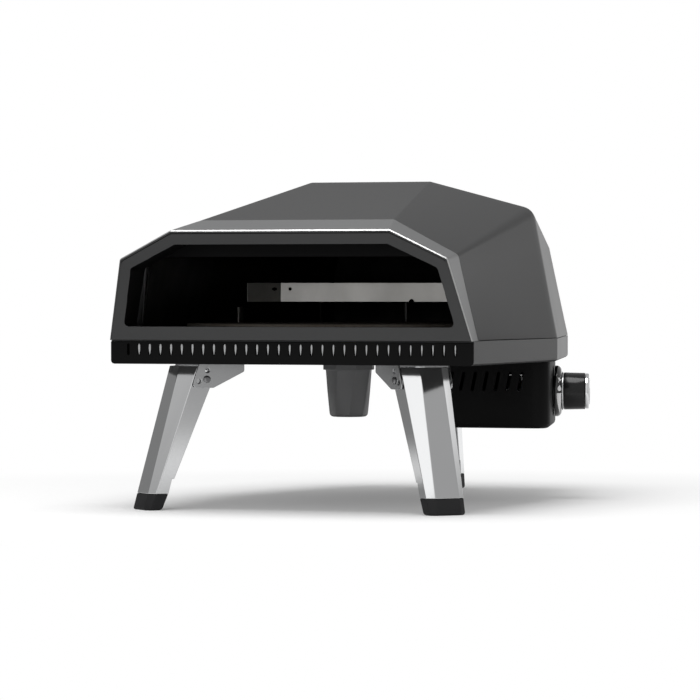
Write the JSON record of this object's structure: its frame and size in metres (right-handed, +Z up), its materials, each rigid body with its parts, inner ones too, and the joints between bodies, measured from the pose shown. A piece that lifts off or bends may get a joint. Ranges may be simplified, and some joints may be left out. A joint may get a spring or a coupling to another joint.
{
  "type": "portable pizza oven",
  "caption": "Portable gas pizza oven with a faceted hood, leaning mouth, turning baking stone, side control box with knob, and folding legs that lock.",
  "frame": {"origin": "on the ground under the middle of the oven's box", "axes": "+X to the right as seen from the mouth, +Y to the rear, +Z up"},
  "size_m": [0.5022, 0.693, 0.404],
  "materials": {
    "charcoal_paint": "satin",
    "visor_paint": "satin",
    "fascia_paint": "satin",
    "black_paint": "satin",
    "bracket_steel": "satin",
    "blanket": "matte",
    "chamber_steel": "heat dulled",
    "bare_steel": "satin",
    "baking_stone": "matte",
    "brass": "satin",
    "igniter_ceramic": "matte",
    "black_plastic": "matte",
    "pipe_aluminium": "satin",
    "gloss_black": "gloss",
    "dial_print": "matte",
    "knob_plastic": "satin",
    "chrome": "mirror",
    "leg_aluminium": "satin",
    "foot_rubber": "matte"
  },
  "bodies": {
    "oven": {"hood_shell": "charcoal_paint", "visor_band": "visor_paint", "front_fascia": "fascia_paint", "mouth_lintel": "black_paint", "insulation_blanket": "blanket", "inner_liner": "chamber_steel", "base_tray": "charcoal_paint", "deck_plate": "charcoal_paint", "vent_panel": "black_paint", "vent_baffle": "bare_steel", "shaft_bushing": "brass", "gear_motor": "bare_steel", "motor_housing": "charcoal_paint", "flame_guard": "chamber_steel", "burner_tube": "chamber_steel", "burner_bracket_left": "bare_steel", "burner_bracket_right": "bare_steel", "stone_guide": "chamber_steel", "igniter_electrode": "igniter_ceramic", "control_box": "black_paint", "box_cover": "black_paint", "switch_socket": "black_plastic", "gas_inlet": "brass", "gas_pipe": "pipe_aluminium", "supply_pipe": "pipe_aluminium", "igniter_module": "black_plastic", "gas_valve": "brass", "bezel": "gloss_black", "leg_bracket_left": "bracket_steel", "leg_pivot_pin_left": "bare_steel", "leg_bracket_right": "bracket_steel", "leg_pivot_pin_right": "bare_steel", "leg_bracket_rear": "bracket_steel", "leg_pivot_pin_rear": "bare_steel"},
    "stone_turntable": {"pizza_stone": "baking_stone", "stone_carrier": "bare_steel", "drive_shaft": "bare_steel"},
    "knob_plunger": {"valve_plunger": "brass"},
    "control_knob": {"valve_stem": "bare_steel", "knob": "knob_plastic", "knob_cap": "chrome"},
    "switch_rocker": {"motor_switch": "black_plastic"},
    "folding_leg_left": {"leg_left": "leg_aluminium", "leg_foot_left": "foot_rubber"},
    "lock_button_left": {"leg_lock_button_left": "chrome"},
    "folding_leg_right": {"leg_right": "leg_aluminium", "leg_foot_right": "foot_rubber"},
    "lock_button_right": {"leg_lock_button_right": "chrome"},
    "folding_leg_rear": {"leg_rear": "leg_aluminium", "leg_foot_rear": "foot_rubber"},
    "lock_button_rear": {"leg_lock_button_rear": "chrome"}
  },
  "joints": [
    {"name": "stone_spin", "type": "hinge", "parent": "oven", "child": "stone_turntable", "pos_m": [-0.00534, -0.08266, 0.207], "axis": [0, 0, 1], "continuous": true},
    {"name": "knob_push", "type": "slide", "parent": "oven", "child": "knob_plunger", "axis": [-0.9744, -0.225, 0], "range_m": [0, 0.003], "stiffness_N_per_m": 600, "springref_m": -0.004},
    {"name": "knob_turn", "type": "hinge", "parent": "knob_plunger", "child": "control_knob", "pos_m": [0.20812, 0.10734, 0.1385], "axis": [0.9744, 0.225, 0], "range_deg": [0, 180]},
    {"name": "switch_rock", "type": "hinge", "parent": "oven", "child": "switch_rocker", "pos_m": [0.14466, 0.14434, 0.145], "axis": [1, 0, 0], "range_deg": [0, 10]},
    {"name": "leg_fold_left", "type": "hinge", "parent": "oven", "child": "folding_leg_left", "pos_m": [-0.14984, -0.24465, 0.159], "axis": [0.7071, -0.7071, 0], "range_deg": [0, 105.4]},
    {"name": "lock_press_left", "type": "slide", "parent": "folding_leg_left", "child": "lock_button_left", "axis": [-0.7071, 0.7071, 0], "range_m": [0, 0.003], "stiffness_N_per_m": 400, "springref_m": -0.004},
    {"name": "leg_fold_right", "type": "hinge", "parent": "oven", "child": "folding_leg_right", "pos_m": [0.13915, -0.24465, 0.159], "axis": [0.7071, 0.7071, 0], "range_deg": [0, 105.4]},
    {"name": "lock_press_right", "type": "slide", "parent": "folding_leg_right", "child": "lock_button_right", "axis": [0.7071, 0.7071, 0], "range_m": [0, 0.003], "stiffness_N_per_m": 400, "springref_m": -0.004},
    {"name": "leg_fold_rear", "type": "hinge", "parent": "oven", "child": "folding_leg_rear", "pos_m": [-0.00534, 0.27134, 0.159], "axis": [-1, 0, 0], "range_deg": [0, 105.4]},
    {"name": "lock_press_rear", "type": "slide", "parent": "folding_leg_rear", "child": "lock_button_rear", "axis": [-1, 0, 0], "range_m": [0, 0.003], "stiffness_N_per_m": 400, "springref_m": -0.004}
  ]
}
